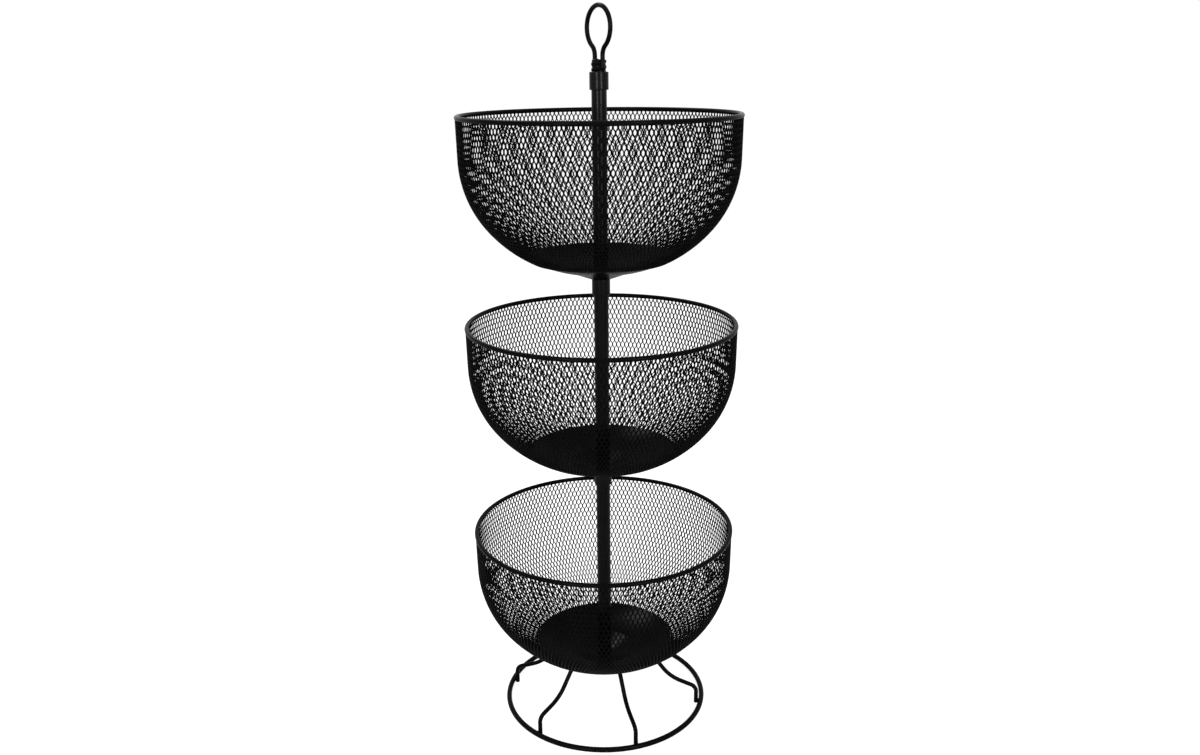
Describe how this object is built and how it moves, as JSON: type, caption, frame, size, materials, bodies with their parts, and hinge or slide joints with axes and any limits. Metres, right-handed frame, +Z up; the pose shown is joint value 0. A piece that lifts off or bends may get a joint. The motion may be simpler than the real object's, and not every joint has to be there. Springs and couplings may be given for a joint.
{
  "type": "hanging fruit basket",
  "caption": "Fruit basket stand: deep round mesh bowls, one above another, on a screwed central post with a wire foot and a wire loop to hang or carry it by.",
  "frame": {"origin": "on the floor under the post's axis, at the underside of the foot ring", "axes": "+Z up along the post; X lies in the plane of the hanging loop; Y runs through the loop"},
  "size_m": [0.3, 0.3, 0.8008],
  "materials": {
    "wire_coating": "near-black satin powder coat on steel wire",
    "mesh_coating": "near-black satin powder coat on expanded steel mesh",
    "sheet_coating": "near-black satin powder coat on pressed steel sheet",
    "post_coating": "near-black satin powder coat on steel tube and turned couplings"
  },
  "bodies": {
    "base": {"foot_ring": "wire_coating", "foot_leg_1": "wire_coating", "foot_leg_2": "wire_coating", "foot_leg_3": "wire_coating", "foot_leg_4": "wire_coating", "foot_leg_5": "wire_coating", "foot_leg_6": "wire_coating", "base_socket": "post_coating"},
    "lower_bowl": {"lower_bowl_rim": "wire_coating", "lower_bowl_mesh": "mesh_coating", "lower_bowl_floor": "sheet_coating"},
    "lower_post": {"lower_tube": "post_coating", "lower_tube_plug": "post_coating", "lower_coupling": "post_coating"},
    "middle_bowl": {"middle_bowl_rim": "wire_coating", "middle_bowl_mesh": "mesh_coating", "middle_bowl_floor": "sheet_coating"},
    "middle_post": {"middle_tube": "post_coating", "middle_tube_plug": "post_coating", "middle_coupling": "post_coating"},
    "upper_bowl": {"upper_bowl_rim": "wire_coating", "upper_bowl_mesh": "mesh_coating", "upper_bowl_floor": "sheet_coating"},
    "upper_post": {"upper_tube": "post_coating", "upper_tube_plug": "post_coating", "upper_coupling": "post_coating"},
    "handle": {"handle_plug": "post_coating", "handle_loop": "wire_coating"}
  },
  "joints": [
    {"name": "lower_bowl_turn", "type": "hinge", "parent": "base", "child": "lower_bowl", "pos_m": [0, 0, 0.0534], "axis": [0, 0, 1], "continuous": true},
    {"name": "lower_post_screw", "type": "hinge", "parent": "base", "child": "lower_post", "pos_m": [0, 0, 0.0534], "axis": [0, 0, 1], "range_deg": [0, 720]},
    {"name": "middle_bowl_turn", "type": "hinge", "parent": "lower_post", "child": "middle_bowl", "pos_m": [0, 0, 0.2964], "axis": [0, 0, 1], "continuous": true},
    {"name": "middle_post_screw", "type": "hinge", "parent": "lower_post", "child": "middle_post", "pos_m": [0, 0, 0.2964], "axis": [0, 0, 1], "range_deg": [0, 720]},
    {"name": "upper_bowl_turn", "type": "hinge", "parent": "middle_post", "child": "upper_bowl", "pos_m": [0, 0, 0.5189], "axis": [0, 0, 1], "continuous": true},
    {"name": "upper_post_screw", "type": "hinge", "parent": "middle_post", "child": "upper_post", "pos_m": [0, 0, 0.5189], "axis": [0, 0, 1], "range_deg": [0, 720]},
    {"name": "handle_screw", "type": "hinge", "parent": "upper_post", "child": "handle", "pos_m": [0, 0, 0.7339], "axis": [0, 0, 1], "range_deg": [-180, 720]}
  ]
}
